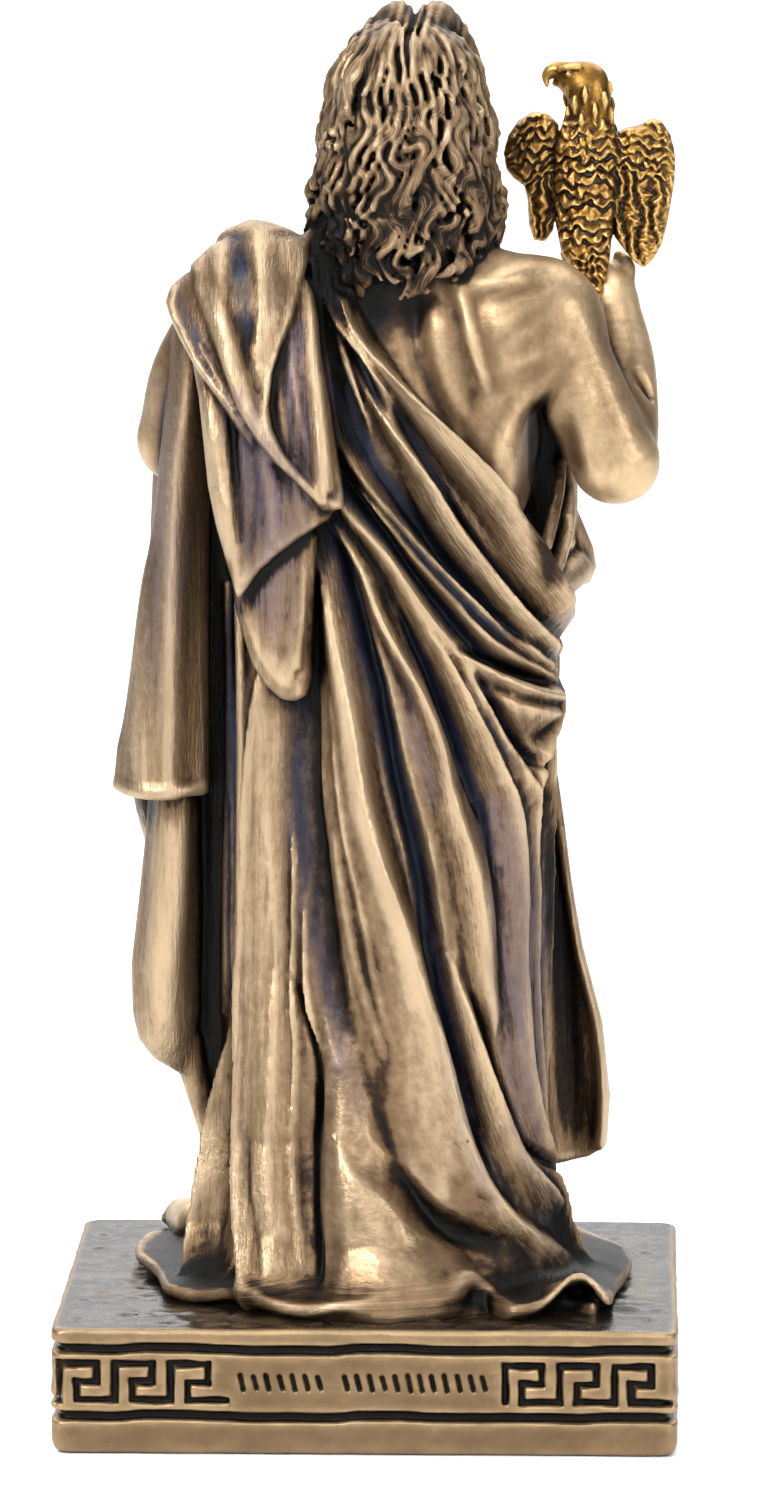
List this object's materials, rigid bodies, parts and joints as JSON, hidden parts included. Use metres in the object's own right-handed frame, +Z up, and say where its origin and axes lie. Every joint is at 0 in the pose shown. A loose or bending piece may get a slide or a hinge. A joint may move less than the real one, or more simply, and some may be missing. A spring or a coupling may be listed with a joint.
{
  "type": "deity statuette",
  "caption": "Bronze-finished resin statuette of Zeus in a draped himation, a gilded eagle on his raised right hand, on a rectangular Greek-key plinth.",
  "frame": {"origin": "centre of the plinth's underside", "axes": "+Z up, the figure faces -Y, its left side is towards +X"},
  "size_m": [0.0384, 0.034, 0.0882],
  "materials": {
    "figure_bronze": "satin cold-cast bronze resin, brown-black in the recesses, blue wash in the cloth's valleys",
    "eagle_gilt": "gold paint over bronze resin, dark brown in the feather grooves",
    "plinth_bronze": "satin cold-cast bronze resin, brown-black in the fret and grooves"
  },
  "bodies": {
    "root": {"zeus_figure": "figure_bronze", "eagle": "eagle_gilt", "plinth": "plinth_bronze"}
  },
  "joints": []
}
